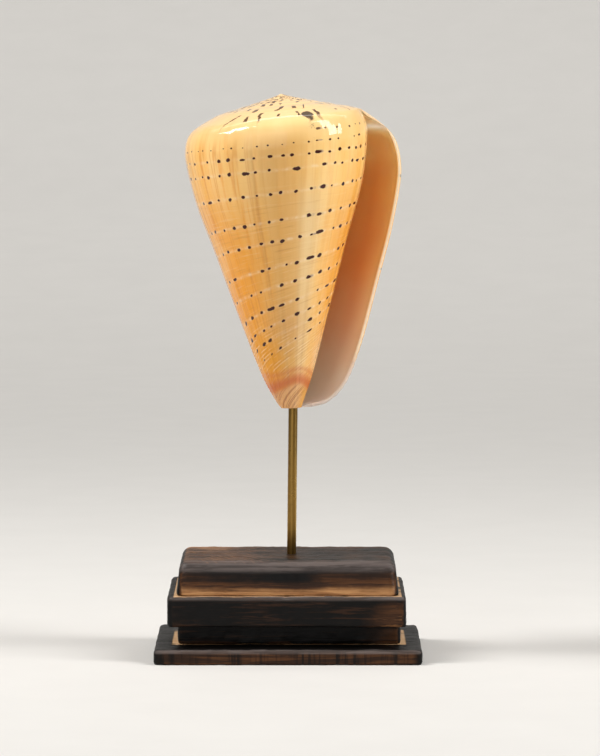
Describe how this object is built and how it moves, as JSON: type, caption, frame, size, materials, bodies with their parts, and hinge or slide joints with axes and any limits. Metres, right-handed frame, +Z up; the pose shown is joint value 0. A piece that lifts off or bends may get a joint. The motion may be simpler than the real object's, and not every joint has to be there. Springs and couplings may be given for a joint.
{
  "type": "cone shell",
  "caption": "Large cone-shaped seashell with rows of dark dots, spire up on a thin brass rod, on a stand of charred wooden boards.",
  "frame": {"origin": "centre of the bottom board's underside", "axes": "+Z up along the rod towards the shell's apex, +X towards the shell's lip, -Y towards the side the aperture opens on"},
  "size_m": [0.092, 0.0732, 0.1946],
  "materials": {
    "shell": "glossy cream and orange shell with rows of dark brown dots, orange-brown to violet-grey inside the aperture",
    "brass": "satin, slightly tarnished",
    "charred_wood": "charred black-brown, satin on the worn edges",
    "scorched_wood": "scorched brown with black edges and pale unburnt strips"
  },
  "bodies": {
    "root": {"shell": "shell", "rod": "brass", "top_block": "scorched_wood", "middle_slab": "charred_wood", "neck_block": "charred_wood", "bottom_slab": "scorched_wood"}
  },
  "joints": []
}
